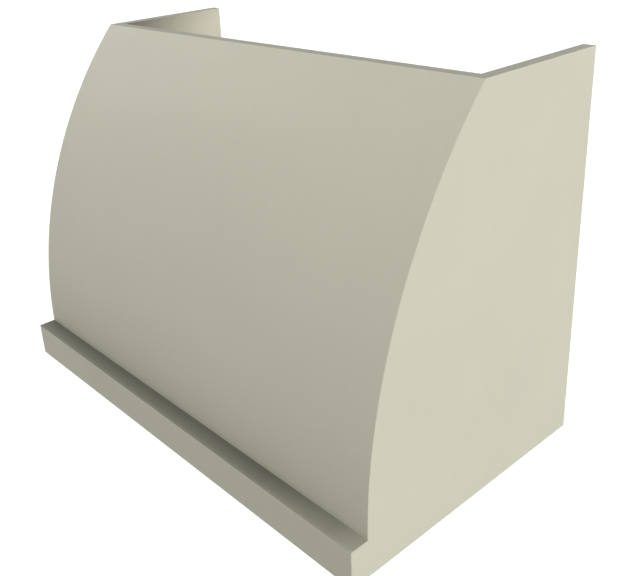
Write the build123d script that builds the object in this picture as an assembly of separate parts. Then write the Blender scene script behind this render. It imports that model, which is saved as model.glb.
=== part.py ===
from build123d import *
import math
import os

# Wooden cover for a range hood, in millimetres. X runs across the cover, Y from the room to the wall and
# Z up. The origin is level with the cover's foot, under its middle: the wall is at half the depth and the
# band's face at minus half.

# Overall sizes
overall_width = 1066.8
overall_height = 762.0
overall_depth = 609.6
top_depth = 304.8  # from the wall to the front at the open top
band_height = 76.2

# Stock
panel_thickness = 25.4  # side panels
band_board = 19.05
band_backer = 19.05
skin_layer = 7.9375  # one of the two layers of bending plywood
rail_stock = 19.05  # rails, ledgers and insert frame
rib_thickness = 19.05
eased_edge = 1.5  # radius on every painted outside edge

# Ribs and top front rail behind the curved front
middle_rib_count = 3
rib_depth = 44.45
top_rail_height = 63.5
top_rail_setback = 12.7  # along the front, from its top edge down to the rail

# Rails at the wall
wall_rail_height = 88.9
top_wall_rail_drop = 101.6  # below the open top
stud_spacing = 406.4
stud_hole = 8.5
wall_rail_pocket_margin = 22.2  # from the rail's edge to the pocket screw

# Frame for the vent insert, set up into the foot of the cover
insert_recess = 25.4
insert_front_rail_width = 47.625
insert_back_rail_width = 38.1
insert_stile_width = 76.2
insert_hole = 3.2
insert_hole_margin = 12.7  # from the cut-out's edge to the hole
stile_pocket_margin = 9.5  # from the ledger over the stile to the nearer of its two pocket screws
stile_pocket_pitch = 22.0  # between the two, which leaves room beside them for the insert's hole

# Countersunk wood screws
screw_shank = 4.2
screw_head = 8.3
screw_head_angle = 82.0
screw_bite = 12.7  # length that the second piece holds
screw_point = 4.0
screw_drive = 2.8
screw_drive_depth = 1.8

# Pocket screws and their pockets
pocket_width = 9.5
pocket_angle = 15.0
pocket_shoulder = 17.5  # from the joint back to the screw's head, along the screw
pocket_screw_shank = 3.7
pocket_screw_head = 8.9
pocket_screw_head_height = 2.4
pocket_screw_bite = 14.25

# Dowels that carry the band's boards
dowel_width = 8.0
dowel_in_panel = 12.0
dowel_in_band = 18.0
dowel_margin = 22.9  # from the band's top and foot
dowel_clearance = 0.1

# Screw patterns and notches
ledger_screw_count = 4
ledger_screw_margin = 50.0
rib_screw_count = 5
rib_screw_margin = 50.0
band_screw_margin = 64.0  # from a rib's middle
housing_clearance = 0.2  # round a rail or a ledger where a rib is notched for it

same_place = 0.01  # distance within which two places count as one

# Places that follow from the sizes
wall_y = overall_depth / 2
band_front_y = -overall_depth / 2
band_joint_y = band_front_y + band_board
front_foot_y = band_joint_y + band_backer
front_top_y = wall_y - top_depth
inner_half = overall_width / 2 - panel_thickness
inner_width = 2 * inner_half
skin_thickness = 2 * skin_layer

# The front is an arc that starts upright on the band's top and leans back to the open top.
front_run = front_top_y - front_foot_y
front_rise = overall_height - band_height
front_radius = (front_run**2 + front_rise**2) / (2 * front_run)
arc_y = front_foot_y + front_radius

# Heights and depths behind the front
frame_top = insert_recess + rail_stock
ledger_height = band_height - frame_top
ledger_mid_z = frame_top + ledger_height / 2
ledger_front_y = front_foot_y + skin_thickness
ledger_back_y = ledger_front_y + rail_stock
rib_foot_y = ledger_front_y + rib_depth
rail_front_y = wall_y - rail_stock
frame_mid_z = insert_recess + rail_stock / 2
cutout_front_y = ledger_front_y + insert_front_rail_width
cutout_back_y = wall_y - insert_back_rail_width
cutout_half = inner_half - insert_stile_width
insert_hole_front_y = cutout_front_y - insert_hole_margin
insert_hole_back_y = cutout_back_y + insert_hole_margin
bottom_wall_rail_z = frame_top + wall_rail_height / 2
top_wall_rail_z = overall_height - top_wall_rail_drop - wall_rail_height / 2

# Angles about the arc's centre, up from its foot
rail_radius = front_radius - skin_thickness
top_rail_top = math.asin(front_rise / rail_radius) - top_rail_setback / rail_radius
top_rail_low = top_rail_top - top_rail_height / rail_radius
top_rail_mid = (top_rail_top + top_rail_low) / 2

# Ribs stand at even steps from one side panel to the other.
side_rib_x = inner_half - rib_thickness / 2
rib_pitch = 2 * side_rib_x / (middle_rib_count + 1)
rib_places = [-side_rib_x + rib_pitch * i for i in range(middle_rib_count + 2)]

SIDES = {"left": -1, "right": 1}


def spaced(low, high, count):
    """Even places from low to high, both ends included."""
    return [low + (high - low) * i / (count - 1) for i in range(count)]


def along_x(outline, width, centre_x=0.0):
    """A (Y, Z) outline made solid along X, about centre_x."""
    return Pos(centre_x, 0, 0) * extrude(Plane.YZ * outline, amount=width / 2, both=True)


def block(low, high):
    """A straight board between its lowest and its highest corner."""
    size = [b - a for a, b in zip(low, high)]
    middle = [(a + b) / 2 for a, b in zip(low, high)]
    return Pos(*middle) * Box(*size)


# The curved front's section


def front_point(offset, angle):
    """(Y, Z) of a point that lies offset behind the outer face."""
    radius = front_radius - offset
    return arc_y - radius * math.cos(angle), band_height + radius * math.sin(angle)


def open_top_angle(offset):
    """Angle at which the surface offset behind the outer face reaches the open top."""
    return math.asin(front_rise / (front_radius - offset))


def rising_line(offset, low, angle):
    """The section's line from a height below the band's top, up the arc to an angle."""
    foot = (front_foot_y + offset, low)
    knee = front_point(offset, 0)
    arc = ThreePointArc(knee, front_point(offset, angle / 2), front_point(offset, angle))
    return [Line(foot, knee), arc]


def front_layer(near, far, low, near_angle, far_angle):
    """Outline of a layer between two offsets behind the outer face."""
    top = Line(front_point(near, near_angle), front_point(far, far_angle))
    bottom = Line((front_foot_y + near, low), (front_foot_y + far, low))
    return make_face(rising_line(near, low, near_angle) + rising_line(far, low, far_angle) + [top, bottom])


def rail_point(angle, depth):
    """(Y, Z) of a point at a depth behind the top rail's front, which is a chord of the skin's curve."""
    y, z = front_point(skin_thickness, angle)
    return y + depth * math.cos(top_rail_mid), z - depth * math.sin(top_rail_mid)


# Fasteners. Each is modelled pointing down from its head and then placed by a plane whose Z points back out.


def turned(points):
    """A round solid from half its section, as (radius, height) points."""
    return revolve(make_face(Plane.XZ * Polyline(*points, close=True)), Axis.Z)


def screw_body(length):
    head, shank = screw_head / 2, screw_shank / 2
    cone = (head - shank) / math.tan(math.radians(screw_head_angle / 2))
    return turned([(0, 0), (head, 0), (shank, -cone), (shank, screw_point - length), (0, -length)])


def wood_screw(length):
    drive = Pos(0, 0, -screw_drive_depth / 2) * Box(screw_drive, screw_drive, screw_drive_depth)
    return screw_body(length) - drive


def pocket_screw_body():
    """Shank and point, from under the head to the tip."""
    shank, length = pocket_screw_shank / 2, pocket_shoulder + pocket_screw_bite
    return turned([(0, 0), (shank, 0), (shank, screw_point - length), (0, -length)])


def pocket_screw():
    head = Pos(0, 0, pocket_screw_head_height / 2) * Cylinder(pocket_screw_head / 2, pocket_screw_head_height)
    drive_z = pocket_screw_head_height - screw_drive_depth / 2
    drive = Pos(0, 0, drive_z) * Box(screw_drive, screw_drive, screw_drive_depth)
    return head + pocket_screw_body() - drive


def pocket_bore():
    """The wide slanted bore, from the head's seat out past the board's face."""
    reach = rail_stock / math.sin(math.radians(pocket_angle))
    return Pos(0, 0, reach / 2) * Cylinder(pocket_width / 2, reach)


def in_pocket(shape):
    """Slants a shape as a pocket does: X points into the joint and Z out of the pocketed face."""
    return Rot(0, pocket_angle - 90, 0) * Pos(0, 0, pocket_shoulder) * shape


def dowel(clearance=0.0):
    """A dowel along Z, from its end in the panel to its end in the band."""
    length = dowel_in_panel + dowel_in_band + 2 * clearance
    return Pos(0, 0, (dowel_in_band - dowel_in_panel) / 2) * Cylinder(dowel_width / 2 + clearance, length)


def placed(shape, places):
    return [place.location * shape for place in places]


# Where the fasteners stand


def ledger_screw_ys():
    return spaced(rib_foot_y + ledger_screw_margin, rail_front_y - ledger_screw_margin, ledger_screw_count)


def side_ledger_screw_places():
    x = inner_half - rail_stock
    return [
        Plane((side * x, y, ledger_mid_z), z_dir=(-side, 0, 0))
        for side in SIDES.values()
        for y in ledger_screw_ys()
    ]


def side_rib_screw_places():
    offset = skin_thickness + rib_depth / 2
    margin = rib_screw_margin / (front_radius - offset)
    angles = spaced(margin, top_rail_low - margin, rib_screw_count)
    points = [front_point(offset, angle) for angle in angles]
    x = inner_half - rib_thickness
    return [Plane((side * x, y, z), z_dir=(-side, 0, 0)) for side in SIDES.values() for y, z in points]


def rib_screw_places():
    """Through the front ledger and the top front rail into each rib, from under the skins."""
    y, z = [(a + b) / 2 for a, b in zip(rail_point(top_rail_low, 0), rail_point(top_rail_top, 0))]
    outward = (0, -math.cos(top_rail_mid), math.sin(top_rail_mid))
    low = [Plane((x, ledger_front_y, ledger_mid_z), z_dir=(0, -1, 0)) for x in rib_places]
    return low + [Plane((x, y, z), z_dir=outward) for x in rib_places]


def insert_frame_screw_places():
    """Up through the frame: into the ledger and the rail between the ribs, and into the side ledgers."""
    bays = [x + rib_pitch / 2 for x in rib_places[:-1]]
    ends = [(x, y) for x in bays for y in (ledger_front_y + rail_stock / 2, wall_y - rail_stock / 2)]
    ys = ledger_screw_ys()
    betweens = [(a + b) / 2 for a, b in zip(ys, ys[1:])]
    sides = [(side * (inner_half - rail_stock / 2), y) for side in SIDES.values() for y in betweens]
    return [Plane((x, y, insert_recess), z_dir=(0, 0, -1)) for x, y in ends + sides]


def band_screw_places():
    """From the front ledger's back, two to each bay between ribs."""
    steps = (band_screw_margin, rib_pitch - band_screw_margin)
    xs = [x + step for x in rib_places[:-1] for step in steps]
    return [Plane((x, ledger_back_y, ledger_mid_z), z_dir=(0, 1, 0)) for x in xs]


def wall_rail_pocket_places(rail_z):
    reach = wall_rail_height / 2 - wall_rail_pocket_margin
    heights = (rail_z - reach, rail_z + reach)
    return [
        Plane((side * inner_half, wall_y - rail_stock / 2, z), x_dir=(side, 0, 0), z_dir=(0, -1, 0))
        for side in SIDES.values()
        for z in heights
    ]


def stile_pocket_places(side):
    """Two at each end of a stile, in the part of its width that no ledger covers."""
    outer_x = inner_half - rail_stock - stile_pocket_margin
    xs = (outer_x - stile_pocket_pitch, outer_x)
    ends = ((cutout_front_y, -1), (cutout_back_y, 1))
    return [
        Plane((side * x, y, frame_mid_z), x_dir=(0, out, 0), z_dir=(0, 0, 1))
        for y, out in ends
        for x in xs
    ]


def dowel_places():
    """Two in each end of each band board."""
    ys = ((band_front_y + band_joint_y) / 2, (band_joint_y + front_foot_y) / 2)
    zs = (dowel_margin, band_height - dowel_margin)
    return [
        Plane((side * inner_half, y, z), z_dir=(-side, 0, 0))
        for side in SIDES.values()
        for y in ys
        for z in zs
    ]


ledger_screw_length = rail_stock + screw_bite
side_rib_screw_length = rib_thickness + screw_bite
band_screw_length = rail_stock + skin_thickness + screw_bite

wall_rail_pockets = wall_rail_pocket_places(top_wall_rail_z) + wall_rail_pocket_places(bottom_wall_rail_z)
stile_pockets = [place for side in SIDES.values() for place in stile_pocket_places(side)]
screw_groups = {
    "side_ledger_screws": (side_ledger_screw_places(), ledger_screw_length),
    "side_rib_screws": (side_rib_screw_places(), side_rib_screw_length),
    "rib_screws": (rib_screw_places(), ledger_screw_length),
    "insert_frame_screws": (insert_frame_screw_places(), ledger_screw_length),
    "band_screws": (band_screw_places(), band_screw_length),
}


def all_holes():
    """One hole for each fastener, which every piece that it passes through is drilled for."""
    holes = placed(in_pocket(pocket_screw_body()), wall_rail_pockets + stile_pockets)
    holes += placed(dowel(dowel_clearance), dowel_places())
    for places, length in screw_groups.values():
        holes += placed(screw_body(length), places)
    return [(hole, hole.bounding_box()) for hole in holes]


holes_and_boxes = all_holes()


def meet(a, b):
    """Whether two bounding boxes share any space."""
    return all(low <= high for low, high in zip((*a.min, *b.min), (*b.max, *a.max)))


def drilled(piece):
    """The piece with the hole of every fastener that passes through it."""
    box = piece.bounding_box()
    return piece - [hole for hole, hole_box in holes_and_boxes if meet(box, hole_box)]


def pocketed(board, places):
    return board - placed(in_pocket(pocket_bore()), places)


# The painted outside. Its edges are eased alike, so that they run on from piece to piece.

front_corners = {
    "top": (front_top_y, overall_height),
    "ledge": (band_front_y, band_height),
    "foot": (band_front_y, 0),
}


def edges_across(piece, *corners):
    """The edges along X that lie on the named corners of the section."""
    places = [front_corners[corner] for corner in corners]
    return [
        edge
        for edge in piece.edges().filter_by(Axis.X)
        if any(math.dist((edge.center().Y, edge.center().Z), place) < same_place for place in places)
    ]


def side_panel(side):
    """Flat panel whose front edge is the curve and the band's nose."""
    top, low = front_corners["top"], (front_foot_y, band_height)
    rest = Polyline(
        top, (wall_y, overall_height), (wall_y, 0), front_corners["foot"], front_corners["ledge"], low
    )
    curve = ThreePointArc(low, front_point(0, open_top_angle(0) / 2), top)
    panel = along_x(make_face([rest, curve]), panel_thickness, side * (inner_half + panel_thickness / 2))
    inner, *_, outer = panel.faces().sort_by(Axis.X)[::side]
    round_outline = [edge for edge in outer.edges() if edge.center().Y < wall_y - same_place]
    inner_top = [edge for edge in inner.edges() if edge.center().Z > overall_height - same_place]
    eased = round_outline + inner_top + edges_across(panel, "top", "ledge", "foot")
    return drilled(fillet(eased, eased_edge))


def outer_front_skin():
    outline = front_layer(0, skin_layer, 0, open_top_angle(0), open_top_angle(skin_layer))
    skin = along_x(outline, inner_width)
    return drilled(fillet(edges_across(skin, "top"), eased_edge))


def inner_front_skin():
    top_angles = open_top_angle(skin_layer), open_top_angle(skin_thickness)
    return drilled(along_x(front_layer(skin_layer, skin_thickness, 0, *top_angles), inner_width))


def band_front_board():
    board = block((-inner_half, band_front_y, 0), (inner_half, band_joint_y, band_height))
    return drilled(fillet(edges_across(board, "ledge", "foot"), eased_edge))


def band_backer_board():
    return drilled(block((-inner_half, band_joint_y, 0), (inner_half, front_foot_y, band_height)))


# Ribs and rails behind the front


def top_front_rail():
    """Flat rail that the skin bears on along its two front edges."""
    ends = ((top_rail_low, 0), (top_rail_top, 0), (top_rail_top, rail_stock), (top_rail_low, rail_stock))
    outline = make_face(Polyline(*[rail_point(*end) for end in ends], close=True))
    return drilled(along_x(outline, inner_width))


def top_rail_notch():
    """What a rib gives up for the top rail, out to the skin."""
    low = top_rail_low - housing_clearance / rail_radius
    depth = rail_stock + housing_clearance
    angles = (low, top_rail_mid, top_rail_top)
    curve = ThreePointArc(*[front_point(skin_thickness, angle) for angle in angles])
    ends = [curve @ 1, rail_point(top_rail_top, depth), rail_point(low, depth), curve @ 0]
    return along_x(make_face([curve, Polyline(*ends)]), inner_width)


def front_ledger(clearance=0.0):
    """The clearance is for the notch that a rib has for it."""
    low = (-inner_half, ledger_front_y, frame_top)
    high = (inner_half, ledger_back_y + clearance, band_height + clearance)
    return block(low, high)


def rib(centre_x):
    """Curved rib that stands on the insert frame, notched for the front ledger and the top front rail."""
    back = skin_thickness + rib_depth
    outline = front_layer(skin_thickness, back, frame_top, top_rail_top, top_rail_top)
    whole = along_x(outline, rib_thickness, centre_x)
    return drilled(whole - front_ledger(housing_clearance) - top_rail_notch())


def side_ledger(side):
    """Strip on a side panel, from the side rib's foot to the wall rail."""
    xs = sorted((side * inner_half, side * (inner_half - rail_stock)))
    return drilled(block((xs[0], rib_foot_y, frame_top), (xs[1], rail_front_y, band_height)))


def wall_rail(middle_z):
    """Rail between the side panels, with a hole at each stud for a wall screw."""
    low, high = middle_z - wall_rail_height / 2, middle_z + wall_rail_height / 2
    rail = block((-inner_half, rail_front_y, low), (inner_half, wall_y, high))
    hole = Rot(90, 0, 0) * Cylinder(stud_hole / 2, rail_stock)
    holes = [Pos(x, wall_y - rail_stock / 2, middle_z) * hole for x in (-stud_spacing, 0, stud_spacing)]
    return drilled(pocketed(rail - holes, wall_rail_pocket_places(middle_z)))


# Frame for the vent insert


def insert_rail(front_y, back_y, hole_y):
    """Flat rail across the cover, with two pilot holes for the insert's flange."""
    rail = block((-inner_half, front_y, insert_recess), (inner_half, back_y, frame_top))
    hole, hole_x = Cylinder(insert_hole / 2, rail_stock), cutout_half + insert_hole_margin
    return drilled(rail - [Pos(side * hole_x, hole_y, frame_mid_z) * hole for side in SIDES.values()])


def insert_stile(side):
    xs = sorted((side * cutout_half, side * inner_half))
    board = block((xs[0], cutout_front_y, insert_recess), (xs[1], cutout_back_y, frame_top))
    return drilled(pocketed(board, stile_pocket_places(side)))


def every_piece():
    """Each piece by its name."""
    pieces = {f"{name}_side_panel": side_panel(side) for name, side in SIDES.items()}
    pieces["outer_front_skin"] = outer_front_skin()
    pieces["inner_front_skin"] = inner_front_skin()
    pieces["band_front_board"] = band_front_board()
    pieces["band_backer_board"] = band_backer_board()
    pieces["top_front_rail"] = top_front_rail()
    pieces["front_ledger"] = drilled(front_ledger())
    for name, side in SIDES.items():
        pieces[f"{name}_side_rib"] = rib(side * side_rib_x)
        pieces[f"{name}_ledger"] = side_ledger(side)
        pieces[f"insert_{name}_stile"] = insert_stile(side)
    for number, x in enumerate(rib_places[1:-1], start=1):
        pieces[f"middle_rib_{number}"] = rib(x)
    pieces["top_wall_rail"] = wall_rail(top_wall_rail_z)
    pieces["bottom_wall_rail"] = wall_rail(bottom_wall_rail_z)
    pieces["insert_front_rail"] = insert_rail(ledger_front_y, cutout_front_y, insert_hole_front_y)
    pieces["insert_back_rail"] = insert_rail(cutout_back_y, wall_y, insert_hole_back_y)
    for name, (places, length) in screw_groups.items():
        pieces[name] = Compound(children=placed(wood_screw(length), places))
    slanted_screw = in_pocket(pocket_screw())
    pieces["wall_rail_pocket_screws"] = Compound(children=placed(slanted_screw, wall_rail_pockets))
    pieces["insert_frame_pocket_screws"] = Compound(children=placed(slanted_screw, stile_pockets))
    pieces["band_dowels"] = Compound(children=placed(dowel(), dowel_places()))
    return pieces


os.makedirs("parts", exist_ok=True)
for node, piece in every_piece().items():
    export_step(piece, f"parts/{node}.step")
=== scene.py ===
import math

import bmesh
import bpy
from mathutils import Matrix, Vector


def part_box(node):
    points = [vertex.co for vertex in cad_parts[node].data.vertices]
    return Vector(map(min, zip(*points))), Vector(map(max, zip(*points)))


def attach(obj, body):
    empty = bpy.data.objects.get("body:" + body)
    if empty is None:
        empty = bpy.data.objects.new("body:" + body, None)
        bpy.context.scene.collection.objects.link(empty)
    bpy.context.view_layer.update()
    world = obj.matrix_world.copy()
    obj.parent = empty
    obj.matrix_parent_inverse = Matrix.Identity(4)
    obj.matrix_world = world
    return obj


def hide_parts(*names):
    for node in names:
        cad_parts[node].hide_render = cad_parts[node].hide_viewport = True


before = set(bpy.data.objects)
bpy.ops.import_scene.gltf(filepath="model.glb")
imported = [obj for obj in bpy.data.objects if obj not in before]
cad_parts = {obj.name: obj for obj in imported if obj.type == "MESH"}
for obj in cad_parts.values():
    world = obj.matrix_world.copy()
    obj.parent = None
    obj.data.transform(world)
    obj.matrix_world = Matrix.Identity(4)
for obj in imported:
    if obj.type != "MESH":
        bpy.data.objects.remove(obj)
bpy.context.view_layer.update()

bl_info = {
    "name": "Wooden range hood cover",
    "version": (1, 0, 0),
    "blender": (4, 5, 0),
    "location": "View3D > Sidebar > Hood cover",
    "description": "Painted wooden cover with a curved front that hangs on the wall round a vent insert",
    "category": "Object",
}

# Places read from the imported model, in metres
LEFT_LOW, LEFT_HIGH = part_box("left_side_panel")
RIGHT_LOW, RIGHT_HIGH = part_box("right_side_panel")
SKIN_LOW, SKIN_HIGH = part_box("outer_front_skin")
LINING_LOW, LINING_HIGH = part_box("inner_front_skin")
BAND_LOW, BAND_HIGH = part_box("band_front_board")
RIB_LOW, RIB_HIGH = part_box("right_side_rib")
MID_RIB_LOW, MID_RIB_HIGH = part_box("middle_rib_3")
TOP = LEFT_HIGH.z
WALL = LEFT_HIGH.y
LEDGE = BAND_HIGH.z
FRONT_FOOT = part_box("band_backer_board")[1].y

# Distances within which two places count as one: as modelled, and after a cut through the curve
SAME, SAME_ON_CURVE = 1e-6, 1e-4


def colour(name, description, default):
    """A colour that a user may change."""
    return bpy.props.FloatVectorProperty(
        name=name, description=description, subtype="COLOR", size=3, default=default, min=0, max=1,
    )


class HoodCoverSizes(bpy.types.PropertyGroup):
    """Sizes of the cover that its modelled pieces and its finishes follow"""

    top_depth: bpy.props.FloatProperty(
        name="Top depth", description="From the wall to the front at the open top",
        default=0.3048, unit="LENGTH",
    )
    eased_edge: bpy.props.FloatProperty(
        name="Eased edge", description="Radius on every painted outside edge",
        default=0.0015, unit="LENGTH",
    )
    edge_steps: bpy.props.IntProperty(
        name="Edge steps", description="Facets round each eased edge", default=5, min=1,
    )
    front_steps: bpy.props.IntProperty(
        name="Front steps", description="Facets up the curved front", default=96, min=8,
    )
    plies: bpy.props.IntProperty(
        name="Plies", description="Layers in the plywood of the ribs", default=13, min=3,
    )
    overspray: bpy.props.FloatProperty(
        name="Overspray", description="How far paint reaches down the bare lining from the open top",
        default=0.014, unit="LENGTH",
    )
    sun_width: bpy.props.FloatProperty(
        name="Light width", description="Angle that each studio light fills, seen from the cover",
        default=math.radians(25), subtype="ANGLE",
    )


class HoodCoverColours(bpy.types.PropertyGroup):
    """Colours of the cover's finishes and of the stage"""

    paint: colour("Paint", "Satin paint on every outside face", (0.59, 0.577, 0.466))
    # Painted shade: darkens the paint's colour in inside corners, where shade falls
    painted_corner_shade: bpy.props.FloatProperty(
        name="Corner shade", default=1, min=0, max=1, subtype="FACTOR",
        description="How strongly the paint darkens in inside corners, such as the ledge's",
    )
    # Painted shade: makes the level edges at the open top darker in colour
    top_edge_shade: bpy.props.FloatProperty(
        name="Top edge shade", default=0.56, min=0, max=1, subtype="FACTOR",
        description="Lightness of the paint on the edges at the open top, darkened as painted shade",
    )
    lining: colour("Lining", "Bare bending plywood behind the curved front", (0.5, 0.32, 0.2))
    birch: colour("Birch", "Face veneer and long-grain plies of the ribs", (0.66, 0.5, 0.32))
    birch_end: colour("Birch end grain", "Cross plies on the ribs' edges", (0.42, 0.27, 0.15))
    poplar: colour("Poplar", "Rails and ledgers", (0.62, 0.53, 0.34))
    poplar_heart: colour("Poplar heartwood", "Greenish streaks in the poplar", (0.44, 0.42, 0.24))
    beech: colour("Beech", "Dowels", (0.6, 0.4, 0.24))
    zinc: colour("Zinc", "Plated screws", (0.62, 0.6, 0.52))
    floor: colour("Floor", "Floor as it throws light back on the cover", (0.15, 0.15, 0.15))


CLASSES = [HoodCoverSizes, HoodCoverColours]
STEPS = []


def listed(cls):
    """Adds a step to the classes and to the panel's list."""
    CLASSES.append(cls)
    STEPS.append(cls.bl_idname)
    return cls


def sizes():
    return bpy.context.scene.hood_cover_sizes


def colours():
    return bpy.context.scene.hood_cover_colours


# The curved front: an arc that starts upright on the ledge and leans back to the open top


def front_arc():
    """Radius, and the (Y, Z) of the centre."""
    run = WALL - sizes().top_depth - FRONT_FOOT
    rise = TOP - LEDGE
    radius = (run**2 + rise**2) / (2 * run)
    return radius, FRONT_FOOT + radius, LEDGE


# Modelling by hand


def block(name, low, high):
    """A new cube from one corner to the other, open in edit mode with nothing selected."""
    bpy.ops.object.select_all(action="DESELECT")
    middle, size = (Vector(low) + Vector(high)) / 2, Vector(high) - Vector(low)
    bpy.ops.mesh.primitive_cube_add(size=1, location=middle)
    piece = bpy.context.object
    piece.name = piece.data.name = name
    piece.scale = size
    bpy.ops.object.transform_apply(location=True, rotation=True, scale=True)
    bpy.ops.object.mode_set(mode="EDIT")
    bpy.ops.mesh.select_all(action="DESELECT")
    return piece


def pick(kind, test):
    """Selects, in edit mode, only the faces or edges that pass the test."""
    bpy.ops.mesh.select_mode(type=kind)
    bpy.ops.mesh.select_all(action="DESELECT")
    mesh = bmesh.from_edit_mesh(bpy.context.object.data)
    found = [part for part in {"FACE": mesh.faces, "EDGE": mesh.edges}[kind] if test(part)]
    if not found:
        raise RuntimeError(f"nothing to pick on {bpy.context.object.name}")
    for part in found:
        part.select_set(True)
    mesh.select_flush_mode()
    bmesh.update_edit_mesh(bpy.context.object.data)


def near(a, b):
    return abs(a - b) < SAME


def face_at(axis, place):
    """Test for faces that lie flat in one plane across an axis."""
    return lambda face: all(near(vert.co[axis], place) for vert in face.verts)


def edge_at(**places):
    """Test for edges whose both ends lie at the places given for x, y or z."""
    axes = {"x": 0, "y": 1, "z": 2}
    return lambda edge: all(
        near(vert.co[axes[axis]], place) for vert in edge.verts for axis, place in places.items()
    )


def ease_picked():
    bpy.ops.mesh.bevel(
        offset=sizes().eased_edge, offset_type="OFFSET", segments=sizes().edge_steps,
        profile=0.5, affect="EDGES", clamp_overlap=False, miter_outer="SHARP", miter_inner="SHARP",
    )


def close(piece, body_slot, *nodes):
    """Leaves edit mode, smooths, hangs the piece on the root body, and hides the nodes that it stands for."""
    bpy.ops.mesh.select_all(action="SELECT")
    bpy.ops.mesh.remove_doubles(threshold=SAME)
    bpy.ops.mesh.normals_make_consistent(inside=False)
    bpy.ops.object.mode_set(mode="OBJECT")
    bpy.ops.object.shade_smooth_by_angle(angle=math.radians(40))
    flat = piece.modifiers.new("flat faces stay flat", "WEIGHTED_NORMAL")
    flat.keep_sharp = True
    flat.weight = 100
    bpy.ops.object.modifier_apply(modifier=flat.name)
    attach(piece, "root")
    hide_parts(*nodes)


# Finishes: each is a material of nodes on Object coordinates

# Values that a noise keeps between for the most part
NOISE_LOW, NOISE_HIGH = 0.3, 0.7


def lit(shade, times):
    """A colour made lighter or darker all over."""
    return tuple(min(1.0, part * times) for part in shade)


class Finish:
    """A new material, and the nodes it is built from."""

    def __init__(self, name):
        self.made = bpy.data.materials.new(name)
        self.made.use_nodes = True
        self.tree = self.made.node_tree
        self.shader = self.tree.nodes["Principled BSDF"]

    def node(self, kind, inputs=None, **settings):
        """Adds a node. An input is a value, or another node's output to link."""
        new = self.tree.nodes.new(kind)
        for name, value in settings.items():
            setattr(new, name, value)
        for name, value in (inputs or {}).items():
            self.feed(new.inputs[name], value)
        return new

    def feed(self, socket, value):
        if isinstance(value, bpy.types.NodeSocket):
            self.tree.links.new(value, socket)
        elif socket.type == "RGBA" and len(value) == 3:
            socket.default_value = (*value, 1)
        else:
            socket.default_value = value

    def shade(self, **inputs):
        """Sets or links the shader's sockets, named with _ for a space."""
        for name, value in inputs.items():
            self.feed(self.shader.inputs[name.replace("_", " ")], value)

    def place(self, stretch=(1, 1, 1), centre=(0, 0, 0)):
        """Object coordinates from a centre, stretched."""
        shift = tuple(-s * c for s, c in zip(stretch, centre))
        seen = self.node("ShaderNodeTexCoord").outputs["Object"]
        moved = self.node("ShaderNodeMapping", {"Vector": seen, "Scale": stretch, "Location": shift})
        return moved.outputs["Vector"]

    def part(self, output, axis):
        seen = self.node("ShaderNodeTexCoord").outputs[output]
        return self.node("ShaderNodeSeparateXYZ", {"Vector": seen}).outputs[axis]

    def along(self, axis):
        """One Object coordinate."""
        return self.part("Object", axis)

    def facing(self, axis):
        """How far a face looks along an axis, -1 to 1."""
        return self.part("Normal", axis)

    def noise(self, vector, scale, detail=2.0, roughness=0.5):
        inputs = {"Vector": vector, "Scale": scale, "Detail": detail, "Roughness": roughness}
        return self.node("ShaderNodeTexNoise", inputs).outputs["Fac"]

    def rings(self, vector, axis, spacing, waver, detail_scale):
        """Growth rings round an axis, 0 to 1, a spacing apart and wavering."""
        return self.node(
            "ShaderNodeTexWave",
            {
                "Vector": vector, "Scale": math.pi / 10 / spacing, "Distortion": waver,
                "Detail": 2.0, "Detail Scale": detail_scale, "Detail Roughness": 0.55,
            },
            wave_type="RINGS", rings_direction=axis, wave_profile="SAW",
        ).outputs["Fac"]

    def ranged(self, value, low, high, to_low=0.0, to_high=1.0, **settings):
        """A value brought from one range to another, and kept inside it."""
        inputs = {"Value": value, "From Min": low, "From Max": high, "To Min": to_low, "To Max": to_high}
        return self.node("ShaderNodeMapRange", inputs, **settings).outputs["Result"]

    def spread(self, noise, least=0.0, most=1.0):
        """A noise brought to run from least to most."""
        return self.ranged(noise, NOISE_LOW, NOISE_HIGH, least, most)

    def fading(self, value, start, end, most):
        """Most at the start, easing to nothing at the end."""
        return self.ranged(value, start, end, most, 0.0, interpolation_type="SMOOTHSTEP")

    def maths(self, operation, *values):
        """One step of arithmetic on values or on nodes' outputs."""
        return self.node("ShaderNodeMath", dict(enumerate(values)), operation=operation).outputs[0]

    def product(self, first, *others):
        for other in others:
            first = self.maths("MULTIPLY", first, other)
        return first

    def mix(self, factor, a, b):
        """From colour a to colour b by a factor."""
        return self.node("ShaderNodeMix", {0: factor, 6: a, 7: b}, data_type="RGBA").outputs[2]

    def toned(self, shade, value):
        """A colour made lighter or darker by a node's output."""
        return self.node("ShaderNodeHueSaturation", {"Color": shade, "Value": value}).outputs["Color"]

    def bump(self, height, distance, under=None):
        inputs = {"Height": height, "Distance": distance, "Strength": 1.0}
        if under is not None:
            inputs["Normal"] = under
        return self.node("ShaderNodeBump", inputs).outputs["Normal"]


FINISHES = {}


def finish(make):
    """Makes a finish the first time it is asked for, and keeps it for the pieces that follow."""
    if make not in FINISHES:
        FINISHES[make] = make().made
    return FINISHES[make]


# Painted shade that the paint's colour carries in inside corners, where shade falls: 0 is none and 1 is black,
# and lengths are in metres
LEDGE_SHADES = (0.58, 0.67, 0.78)  # at the ledge's outer edge, behind its brow, and along the front
LEDGE_BROW = 0.008
RIGHT_END = ((0.24, 0.78), (0.06, 0.75))  # lengths before the right end, and the share of shade left at it
CLOSE_ABOVE = (0.015, 0.09)  # height above the ledge where it ends, and the most of it
LOW_FRONT = (0.03, 0.2, 0.075)  # heights above the ledge between which it fades, and the most of it
INSIDE = (0.22, 0.7)  # how far it reaches behind the curved front, and the most of it
INSIDE_FOOT = 0.05  # height above the ledge over which it sets in
INNER_FACE = 0.0005  # how far outside a side panel's inner face still counts as on it
# How far a face looks up, to the front or sideways where its shade sets in and where it is full
UPWARDS, FORWARDS, SIDEWAYS = (0.1, 0.5), (-0.9, -0.95), (0.5, 0.9)
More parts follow.
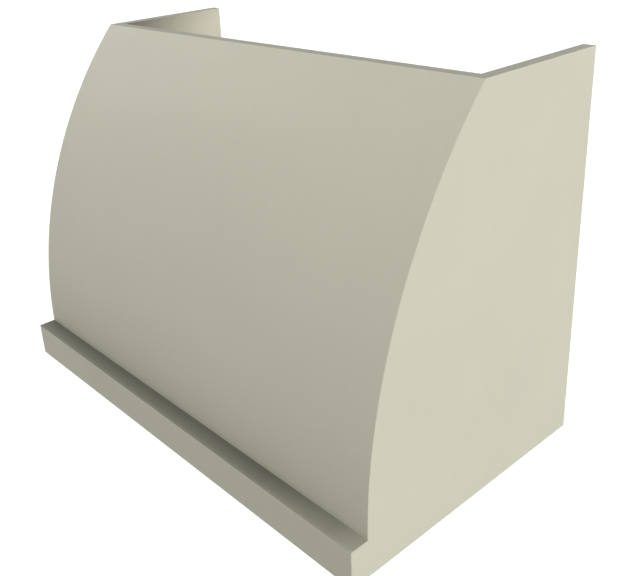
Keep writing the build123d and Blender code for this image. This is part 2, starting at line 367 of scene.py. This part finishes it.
# Depth below the open top where the painted shade on the level edges sets in and where it is full
TOP_EDGE = (0.0006, 0.0001)


def painted_corner_shade(coat):
    """Painted shade: how much darker the paint's colour is made in its inside corners, by place and by the way
    a face looks.
    """
    along, height = coat.along("X"), coat.along("Z")

    # Painted shade on the ledge, most along the front and less towards the right end, where the light comes in
    outer, brow, front = LEDGE_SHADES
    behind_brow = BAND_LOW.y + LEDGE_BROW
    ledge = coat.maths(
        "ADD", coat.ranged(coat.along("Y"), BAND_LOW.y, behind_brow, outer, brow),
        coat.ranged(coat.along("Y"), behind_brow, FRONT_FOOT - LEDGE_BROW, 0.0, front - brow),
    )
    ends = [coat.ranged(along, RIGHT_HIGH.x - length, RIGHT_HIGH.x, 1.0, left) for length, left in RIGHT_END]
    level = coat.ranged(coat.facing("Z"), *UPWARDS)
    ledge = coat.product(ledge, *ends, level, coat.maths("COMPARE", height, LEDGE, sizes().eased_edge))

    # Painted shade on the front, close above the ledge, and from there up and on the band
    reach, most = CLOSE_ABOVE
    close_above = coat.product(
        coat.fading(height, LEDGE, LEDGE + reach, most), coat.maths("GREATER_THAN", height, LEDGE)
    )
    start, end, most = LOW_FRONT
    low_front = coat.fading(height, LEDGE + start, LEDGE + end, most)
    foot = coat.product(coat.maths("ADD", close_above, low_front), coat.ranged(coat.facing("Y"), *FORWARDS))

    # Painted shade inside the side panels, towards the back of the curved front
    radius, arc_y, arc_z = front_arc()
    skins = LINING_LOW.y - SKIN_LOW.y + LINING_HIGH.y - SKIN_HIGH.y
    from_centre = coat.place((0, 1, 1), (0, arc_y, arc_z))
    out = coat.node("ShaderNodeVectorMath", {0: from_centre}, operation="LENGTH").outputs["Value"]
    reach, most = INSIDE
    inside = coat.product(
        coat.fading(coat.maths("SUBTRACT", radius - skins, out), 0.0, reach, most),
        coat.ranged(coat.maths("ABSOLUTE", coat.facing("X")), *SIDEWAYS),
        coat.maths("LESS_THAN", coat.maths("ABSOLUTE", along), RIGHT_LOW.x + INNER_FACE),
        coat.ranged(height, LEDGE, LEDGE + INSIDE_FOOT),
    )
    return coat.product(
        coat.maths("ADD", coat.maths("ADD", ledge, foot), inside), colours().painted_corner_shade
    )


def paint_coat(coat):
    """Colour, roughness and normal of sprayed satin paint, so that bare wood can carry overspray of it."""
    plain = coat.place()
    sets_in, full = TOP_EDGE
    tone = coat.product(
        coat.spread(coat.noise(coat.place((0.4, 1, 1)), scale=5, detail=3), 0.985, 1.015),
        coat.spread(coat.noise(plain, scale=70), 0.994, 1.006),
        # Painted shade in inside corners
        coat.maths("SUBTRACT", 1.0, painted_corner_shade(coat)),
        # Painted shade on the level edges at the open top
        coat.ranged(coat.along("Z"), TOP - sets_in, TOP - full, 1.0, colours().top_edge_shade),
    )
    sheen = coat.spread(coat.noise(plain, scale=11, detail=3), 0.5, 0.58)
    flow = coat.bump(coat.noise(plain, scale=24, detail=1), 0.00012)
    peel = coat.bump(coat.noise(plain, scale=420, detail=1.5), 0.00006, flow)
    return coat.toned(colours().paint, tone), sheen, peel


def satin_paint():
    coat = Finish("satin putty paint")
    tone, sheen, skin = paint_coat(coat)
    coat.shade(Base_Color=tone, Roughness=sheen, Normal=skin, Specular_IOR_Level=0.12)
    return coat


def bare_lining():
    """Bending plywood with its open pores along X, and overspray of the paint below the open top."""
    ply = Finish("bare bending plywood")
    lining = colours().lining
    pores = ply.noise(ply.place((0.03, 1, 1)), scale=1500, roughness=0.6)
    streaks = ply.noise(ply.place((0.05, 1, 1)), scale=90, detail=4, roughness=0.6)
    clouds = ply.noise(ply.place((0.4, 1, 1)), scale=7, detail=3)
    body = ply.mix(ply.spread(streaks), lit(lining, 0.78), lit(lining, 1.2))
    body = ply.toned(body, ply.spread(clouds, 0.9, 1.1))
    open_pore = ply.ranged(pores, 0.34, 0.42, 1.0, 0.0)
    wood = ply.mix(ply.product(open_pore, 0.7), body, lit(lining, 0.4))
    # The overspray: solid at the top, ragged and then dusty at its lower edge
    tone, _, _ = paint_coat(ply)
    edge = TOP - sizes().overspray
    ragged = ply.product(ply.noise(ply.place(), scale=26, detail=5, roughness=0.6), 0.02)
    cover = ply.ranged(ply.maths("ADD", ply.along("Z"), ragged), edge + 0.004, edge + 0.016)
    dust = ply.ranged(ply.noise(ply.place(), scale=900), 0.35, 0.65)
    cover = ply.product(cover, ply.maths("MAXIMUM", dust, cover))
    ply.shade(
        Base_Color=ply.mix(cover, wood, tone), Specular_IOR_Level=0.3,
        Normal=ply.bump(ply.maths("SUBTRACT", streaks, open_pore), 0.00009),
        Roughness=ply.spread(streaks, 0.72, 0.6),
    )
    return ply


def birch_plywood():
    """Plies across X on the ribs' edges, face veneer with its grain upright on their faces."""
    ply = Finish("birch plywood")
    birch, birch_end = colours().birch, colours().birch_end
    # The ribs stand a pitch apart, so one count of plies, from each rib's middle, serves all five
    pitch = (MID_RIB_LOW.x + MID_RIB_HIGH.x) / 2
    across = ply.maths("WRAP", ply.along("X"), pitch / 2, -pitch / 2)
    layer = (RIB_HIGH.x - RIB_LOW.x) / sizes().plies
    wobble = ply.product(ply.noise(ply.place(), scale=60, detail=1), 0.0002)
    in_plies = ply.maths("DIVIDE", ply.maths("ADD", across, wobble), layer)
    cross_ply = ply.ranged(ply.maths("PINGPONG", ply.maths("ADD", in_plies, 0.5), 1.0), 0.44, 0.56)
    glue = ply.ranged(ply.maths("PINGPONG", in_plies, 0.5), 0.44, 0.5)
    end_fleck = ply.noise(ply.place(), scale=1300)
    long_fleck = ply.noise(ply.place((6, 0.35, 0.35)), scale=260, detail=3)
    end_tone = ply.toned(birch_end, ply.spread(end_fleck, 0.75, 1.25))
    long_tone = ply.toned(birch, ply.spread(long_fleck, 0.85, 1.1))
    edge = ply.mix(glue, ply.mix(cross_ply, long_tone, end_tone), lit(birch_end, 0.4))
    figure = ply.node(
        "ShaderNodeTexWave",
        {
            "Vector": ply.place((1, 1, 0.1)), "Scale": 9.0, "Distortion": 9.0,
            "Detail": 3.0, "Detail Scale": 1.1, "Detail Roughness": 0.55,
        },
        wave_type="BANDS", bands_direction="Y", wave_profile="SIN",
    ).outputs["Fac"]
    fibre = ply.noise(ply.place((1, 1, 0.03)), scale=700, detail=3, roughness=0.6)
    veneer = ply.mix(ply.ranged(figure, 0.2, 1.0), lit(birch, 1.06), lit(birch, 0.87))
    veneer = ply.toned(veneer, ply.spread(fibre, 0.93, 1.06))
    on_face = ply.ranged(ply.maths("ABSOLUTE", ply.facing("X")), 0.65, 0.75)
    glue_line = ply.product(glue, ply.maths("SUBTRACT", 1.0, on_face))
    ply.shade(
        Base_Color=ply.mix(on_face, edge, veneer), Specular_IOR_Level=0.3,
        Normal=ply.bump(ply.maths("SUBTRACT", fibre, glue_line), 0.00007),
        Roughness=ply.spread(fibre, 0.66, 0.56),
    )
    return ply


def poplar_along(axis, heart_of_tree):
    """Poplar with its grain along X or Y: growth rings, greenish heartwood streaks and fine fibres."""
    wood = Finish(f"poplar along {axis}")

    def drawn_out(share):
        """Object coordinates stretched along the grain, to a share of the size across it."""
        return (share, 1, 1) if axis == "X" else (1, share, 1)

    rings = wood.rings(wood.place(drawn_out(0.06), heart_of_tree), axis, 0.0048, 5.0, 0.25)
    fibre = wood.noise(wood.place(drawn_out(0.02)), scale=800, detail=3, roughness=0.6)
    heart = wood.noise(wood.place(drawn_out(0.04)), scale=22, detail=3)
    body = wood.mix(wood.ranged(heart, 0.5, 0.75, 0.0, 0.6), colours().poplar, colours().poplar_heart)
    late = wood.ranged(rings, 0.72, 1.0, 1.0, 0.8)
    wood.shade(
        Base_Color=wood.toned(body, wood.product(late, wood.spread(fibre, 0.9, 1.08))),
        Normal=wood.bump(wood.maths("ADD", fibre, late), 0.00008),
        Roughness=wood.spread(fibre, 0.68, 0.58), Specular_IOR_Level=0.3,
    )
    return wood


def poplar_rail():
    return poplar_along("X", heart_of_tree=(0.3, 0.43, 0.52))


def poplar_ledger():
    return poplar_along("Y", heart_of_tree=(0.09, 0.1, 0.31))


def beech_dowel():
    """Pale pinkish beech with short dark flecks."""
    wood = Finish("beech dowel")
    flecks = wood.noise(wood.place((1, 0.22, 1)), scale=1100, detail=1)
    tone = wood.noise(wood.place((1, 0.1, 1)), scale=160, detail=3)
    body = wood.toned(colours().beech, wood.spread(tone, 0.88, 1.1))
    wood.shade(
        Base_Color=wood.mix(wood.ranged(flecks, 0.64, 0.7), body, lit(colours().beech, 0.55)),
        Normal=wood.bump(tone, 0.00006), Roughness=wood.spread(tone, 0.6, 0.5), Specular_IOR_Level=0.3,
    )
    return wood


def zinc_plate():
    """Bright zinc, faintly cloudy and with dull spots."""
    plate = Finish("zinc plate")
    spots = plate.noise(plate.place(), scale=700, detail=3)
    haze = plate.noise(plate.place(), scale=260)
    plate.shade(
        Base_Color=plate.toned(colours().zinc, plate.spread(haze, 0.88, 1.06)), Metallic=1.0,
        Normal=plate.bump(spots, 0.00003), Roughness=plate.spread(spots, 0.28, 0.44),
    )
    return plate


def dress(make, *nodes):
    """Gives CAD nodes whose shape is right their finish."""
    for name in nodes:
        piece = bpy.data.objects[name]
        for slot in piece.material_slots:
            slot.material = finish(make)
        if not piece.material_slots:
            raise RuntimeError(f"{name} has no material slot")


# Pieces


@listed
class HOODCOVER_OT_side_panels(bpy.types.Operator):
    """Model the two flat side panels with the curve and the band's nose on their front edge"""

    bl_idname = "hoodcover.side_panels"
    bl_label = "Side panels"

    sharp_turn = 1.0  # angle in radians over which an edge counts as a corner

    def execute(self, context):
        self.panel("left", LEFT_LOW, LEFT_HIGH, outer=LEFT_LOW.x, inner=LEFT_HIGH.x)
        self.panel("right", RIGHT_LOW, RIGHT_HIGH, outer=RIGHT_HIGH.x, inner=RIGHT_LOW.x)
        return {"FINISHED"}

    def panel(self, side, low, high, outer, inner):
        radius, arc_y, arc_z = front_arc()
        steps = sizes().front_steps
        sweep = math.asin((TOP - LEDGE) / radius)
        panel = block(f"painted_{side}_side_panel", (low.x, FRONT_FOOT, 0), (high.x, WALL, LEDGE))

        # The nose at the band's ends, and then the curved front edge, a step at a time
        pick("FACE", face_at(1, FRONT_FOOT))
        bpy.ops.mesh.extrude_region_move(TRANSFORM_OT_translate={"value": (0, low.y - FRONT_FOOT, 0)})
        y, z = FRONT_FOOT, LEDGE
        for step in range(1, steps + 1):
            angle = sweep * step / steps
            next_y = arc_y - radius * math.cos(angle)
            next_z = arc_z + radius * math.sin(angle) if step < steps else TOP
            if step == 1:
                pick("FACE", lambda face: face_at(2, LEDGE)(face) and face.calc_center_median().y > FRONT_FOOT)
            else:
                pick("FACE", face_at(2, z))
            bpy.ops.mesh.extrude_region_move(TRANSFORM_OT_translate={"value": (0, 0, next_z - z)})
            pick("EDGE", edge_at(y=y, z=next_z))
            bpy.ops.transform.translate(value=(0, next_y - y, 0))
            y, z = next_y, next_z
        front_top = y

        # The top edge is eased inside only behind the curved front, where no filled joint meets it
        bpy.ops.mesh.select_all(action="SELECT")
        bpy.ops.mesh.bisect(plane_co=(0, LINING_HIGH.y, 0), plane_no=(0, 1, 0))

        def eased(edge):
            a, b = (vert.co for vert in edge.verts)
            if near(a.x, outer) and near(b.x, outer):
                on_wall = near(a.y, WALL) and near(b.y, WALL)
                return len(edge.link_faces) == 2 and edge.calc_face_angle(0) > self.sharp_turn and not on_wall
            if near(a.x, inner) and near(b.x, inner):
                return near(a.z, TOP) and near(b.z, TOP) and min(a.y, b.y) > LINING_HIGH.y - SAME_ON_CURVE
            corners = (front_top, TOP), (low.y, LEDGE), (low.y, 0)
            return any(edge_at(y=corner_y, z=corner_z)(edge) for corner_y, corner_z in corners)

        pick("EDGE", eased)
        ease_picked()
        close(panel, "painted_wood", f"{side}_side_panel")
        panel.data.materials.append(finish(satin_paint))


@listed
class HOODCOVER_OT_curved_front(bpy.types.Operator):
    """Model the two layers of the curved front"""

    bl_idname = "hoodcover.curved_front"
    bl_label = "Curved front"

    extra_steps = 3  # past the open top, where the cut takes them off
    level = 0.99  # how far up or down a face looks that counts as level

    def execute(self, context):
        skin = self.layer("painted_front_skin", SKIN_LOW, SKIN_HIGH)
        front_top = WALL - sizes().top_depth
        pick("EDGE", lambda edge: all(
            near(vert.co.z, TOP) and abs(vert.co.y - front_top) < SAME_ON_CURVE for vert in edge.verts
        ))
        ease_picked()
        close(skin, "painted_wood", "outer_front_skin")
        skin.data.materials.append(finish(satin_paint))
        lining = self.layer("lining_front_skin", LINING_LOW, LINING_HIGH)
        close(lining, "bending_plywood", "inner_front_skin")
        lining.data.materials.append(finish(bare_lining))
        lining.data.materials.append(finish(satin_paint))
        for face in lining.data.polygons:
            face.material_index = int(abs(face.normal.z) > self.level)
        return {"FINISHED"}

    def layer(self, name, low, high):
        radius, arc_y, _ = front_arc()
        thickness = LINING_LOW.y - SKIN_LOW.y
        one_step = math.asin((TOP - LEDGE) / radius) / sizes().front_steps
        steps = sizes().front_steps + self.extra_steps
        skin = block(name, (low.x, low.y, 0), (high.x, low.y + thickness, LEDGE))
        pick("FACE", face_at(2, LEDGE))
        bpy.ops.mesh.spin(steps=steps, angle=one_step * steps, center=(0, arc_y, LEDGE), axis=(1, 0, 0))
        bpy.ops.mesh.select_all(action="SELECT")
        bpy.ops.mesh.bisect(plane_co=(0, 0, TOP), plane_no=(0, 0, 1), use_fill=True, clear_outer=True)
        return skin


@listed
class HOODCOVER_OT_band(bpy.types.Operator):
    """Model the board across the foot and paint the one behind it"""

    bl_idname = "hoodcover.band"
    bl_label = "Band"

    def execute(self, context):
        board = block("painted_band_board", BAND_LOW, BAND_HIGH)
        on_front = edge_at(y=BAND_LOW.y)
        pick("EDGE", lambda edge: on_front(edge) and not near(edge.verts[0].co.x, edge.verts[1].co.x))
        ease_picked()
        close(board, "painted_wood", "band_front_board")
        board.data.materials.append(finish(satin_paint))
        dress(satin_paint, "band_backer_board")
        return {"FINISHED"}


@listed
class HOODCOVER_OT_ribs(bpy.types.Operator):
    """Finish the five curved plywood ribs behind the front"""

    bl_idname = "hoodcover.ribs"
    bl_label = "Ribs"

    def execute(self, context):
        dress(
            birch_plywood, "left_side_rib", "middle_rib_1", "middle_rib_2", "middle_rib_3", "right_side_rib",
        )
        return {"FINISHED"}


@listed
class HOODCOVER_OT_rails(bpy.types.Operator):
    """Finish the poplar rails and the ledgers, each with its grain along its length"""

    bl_idname = "hoodcover.rails"
    bl_label = "Rails and ledgers"

    def execute(self, context):
        dress(poplar_rail, "top_front_rail", "front_ledger", "top_wall_rail", "bottom_wall_rail")
        dress(poplar_ledger, "left_ledger", "right_ledger")
        return {"FINISHED"}


@listed
class HOODCOVER_OT_insert_frame(bpy.types.Operator):
    """Paint the flat frame round the cut-out for the vent insert"""

    bl_idname = "hoodcover.insert_frame"
    bl_label = "Insert frame"

    def execute(self, context):
        dress(
            satin_paint, "insert_front_rail", "insert_back_rail", "insert_left_stile", "insert_right_stile",
        )
        return {"FINISHED"}


@listed
class HOODCOVER_OT_fasteners(bpy.types.Operator):
    """Finish the dowels and the zinc-plated screws"""

    bl_idname = "hoodcover.fasteners"
    bl_label = "Fasteners"

    def execute(self, context):
        dress(beech_dowel, "band_dowels")
        dress(
            zinc_plate, "side_ledger_screws", "side_rib_screws", "rib_screws", "insert_frame_screws",
            "band_screws", "wall_rail_pocket_screws", "insert_frame_pocket_screws",
        )
        return {"FINISHED"}


# Stage

AMBIENT = 0.15  # light from all round
FLOOR_GLOW = 0.2  # keeps the underside from going black
# The floor as it shows: what it takes of the lights, so that it keeps the cover's shadow, and its own glow
SHOWN_FLOOR, SHOWN_GLOW = 0.4, 0.82
FLOOR_WIDTH = 40
# Studio lights: azimuth from the front towards the right, elevation, strength
LIGHTS = (
    ("front left", -30, 10, 0.08),
    ("front high", 0, 60, 0.185),
    ("left", -60, 28, 0.172),
    ("left high", -60, 46, 0.24),
    ("far left", -90, 28, 0.1),
    ("right", 90, 10, 0.82),
    ("behind", 180, 10, 0.55),
)
# The camera: where it stands, the way it lies from what it looks at, its roll, lens and shift
CAMERA_PLACE = (1.248922, -1.005866, 1.032049)
CAMERA_WAY = (50.2412, 22.2933)
CAMERA_ROLL = -3.586
CAMERA_LENS, CAMERA_SENSOR = 46.655, 36
CAMERA_SHIFT = (0.0651, -0.0891)


def way(azimuth, elevation):
    """Unit vector towards a place on the sky."""
    turn, lift = math.radians(azimuth), math.radians(elevation)
    return Vector((math.sin(turn) * math.cos(lift), -math.cos(turn) * math.cos(lift), math.sin(lift)))


@listed
class HOODCOVER_OT_stage(bpy.types.Operator):
    """Set the floor, the lights and the camera"""

    bl_idname = "hoodcover.stage"
    bl_label = "Stage"

    def execute(self, context):
        context.scene.view_settings.view_transform = "Standard"
        self.floor()
        self.surroundings(context.scene)
        for name, azimuth, elevation, strength in LIGHTS:
            self.light(context.scene, name, way(azimuth, elevation), strength)
        self.camera(context.scene)
        return {"FINISHED"}

    def shown(self, tree):
        """1 on rays from the camera and on those that gloss or glass sends on."""
        path = tree.nodes.new("ShaderNodeLightPath")
        total = path.outputs["Is Camera Ray"]
        for name in ("Is Glossy Ray", "Is Transmission Ray"):
            more = tree.nodes.new("ShaderNodeMath")
            more.operation = "MAXIMUM"
            tree.links.new(total, more.inputs[0])
            tree.links.new(path.outputs[name], more.inputs[1])
            total = more.outputs[0]
        return total

    def floor(self):
        """A pale floor that shows white outside the cover's shadow."""
        bpy.ops.object.select_all(action="DESELECT")
        bpy.ops.mesh.primitive_plane_add(size=FLOOR_WIDTH, location=(0, 0, 0))
        floor = bpy.context.object
        floor.name = floor.data.name = "floor"
        pale = Finish("pale floor")
        tree = pale.tree

        def glowing(shade, glow):
            bounce = pale.node("ShaderNodeBsdfDiffuse", {"Color": shade})
            lift = pale.node("ShaderNodeEmission", {"Strength": glow})
            return pale.node("ShaderNodeAddShader", {0: bounce.outputs[0], 1: lift.outputs[0]}).outputs[0]

        unseen = glowing(colours().floor, FLOOR_GLOW)
        seen = glowing((SHOWN_FLOOR,) * 3, SHOWN_GLOW)
        top = pale.node("ShaderNodeMixShader", {0: self.shown(tree), 1: unseen, 2: seen})
        clear = pale.node("ShaderNodeBsdfTransparent")
        under = pale.node("ShaderNodeNewGeometry").outputs["Backfacing"]
        both = pale.node("ShaderNodeMixShader", {0: under, 1: top.outputs[0], 2: clear.outputs[0]})
        tree.links.new(both.outputs[0], tree.nodes["Material Output"].inputs["Surface"])
        tree.nodes.remove(pale.shader)
        floor.data.materials.append(pale.made)

    def surroundings(self, scene):
        """White all round, and dimmer as a light."""
        world = bpy.data.worlds.new("studio")
        world.use_nodes = True
        tree = world.node_tree
        back = tree.nodes["Background"]
        back.inputs["Color"].default_value = (1, 1, 1, 1)
        dim = tree.nodes.new("ShaderNodeMapRange")
        tree.links.new(self.shown(tree), dim.inputs["Value"])
        dim.inputs["To Min"].default_value = AMBIENT
        dim.inputs["To Max"].default_value = 1.0
        tree.links.new(dim.outputs["Result"], back.inputs["Strength"])
        scene.world = world

    def light(self, scene, name, towards, strength):
        data = bpy.data.lights.new(name, "SUN")
        data.energy = math.pi * strength
        data.angle = sizes().sun_width
        lamp = bpy.data.objects.new(name, data)
        lamp.rotation_mode = "QUATERNION"
        lamp.rotation_quaternion = towards.to_track_quat("Z", "Y")
        scene.collection.objects.link(lamp)

    def camera(self, scene):
        data = bpy.data.cameras.new("camera")
        camera = bpy.data.objects.new("camera", data)
        scene.collection.objects.link(camera)
        roll = math.radians(CAMERA_ROLL)
        back = way(*CAMERA_WAY)
        right = Vector((0, 0, 1)).cross(back).normalized()
        up = back.cross(right)
        turned_right = math.cos(roll) * right + math.sin(roll) * up
        turned_up = math.cos(roll) * up - math.sin(roll) * right
        turn = Matrix((turned_right, turned_up, back)).transposed()
        camera.matrix_world = Matrix.Translation(CAMERA_PLACE) @ turn.to_4x4()
        data.lens = CAMERA_LENS
        data.sensor_width = CAMERA_SENSOR
        data.shift_x, data.shift_y = CAMERA_SHIFT
        scene.camera = camera


class HOODCOVER_PT_panel(bpy.types.Panel):
    """Sizes, colours and the steps that build the cover"""

    bl_idname = "HOODCOVER_PT_panel"
    bl_label = "Hood cover"
    bl_space_type = "VIEW_3D"
    bl_region_type = "UI"
    bl_category = "Hood cover"

    def draw(self, context):
        for title, group in (("Sizes", sizes()), ("Colours", colours())):
            box = self.layout.box()
            box.label(text=title)
            for name in type(group).__annotations__:
                box.prop(group, name)
        for step in STEPS:
            self.layout.operator(step)


CLASSES.append(HOODCOVER_PT_panel)


def register():
    for cls in CLASSES:
        bpy.utils.register_class(cls)
    bpy.types.Scene.hood_cover_sizes = bpy.props.PointerProperty(type=HoodCoverSizes)
    bpy.types.Scene.hood_cover_colours = bpy.props.PointerProperty(type=HoodCoverColours)


def unregister():
    del bpy.types.Scene.hood_cover_colours
    del bpy.types.Scene.hood_cover_sizes
    for cls in reversed(CLASSES):
        bpy.utils.unregister_class(cls)


def main():
    register()
    bpy.ops.hoodcover.stage()
    bpy.ops.hoodcover.side_panels()
    bpy.ops.hoodcover.curved_front()
    bpy.ops.hoodcover.band()
    bpy.ops.hoodcover.ribs()
    bpy.ops.hoodcover.rails()
    bpy.ops.hoodcover.insert_frame()
    bpy.ops.hoodcover.fasteners()


if __name__ == "__main__":
    main()
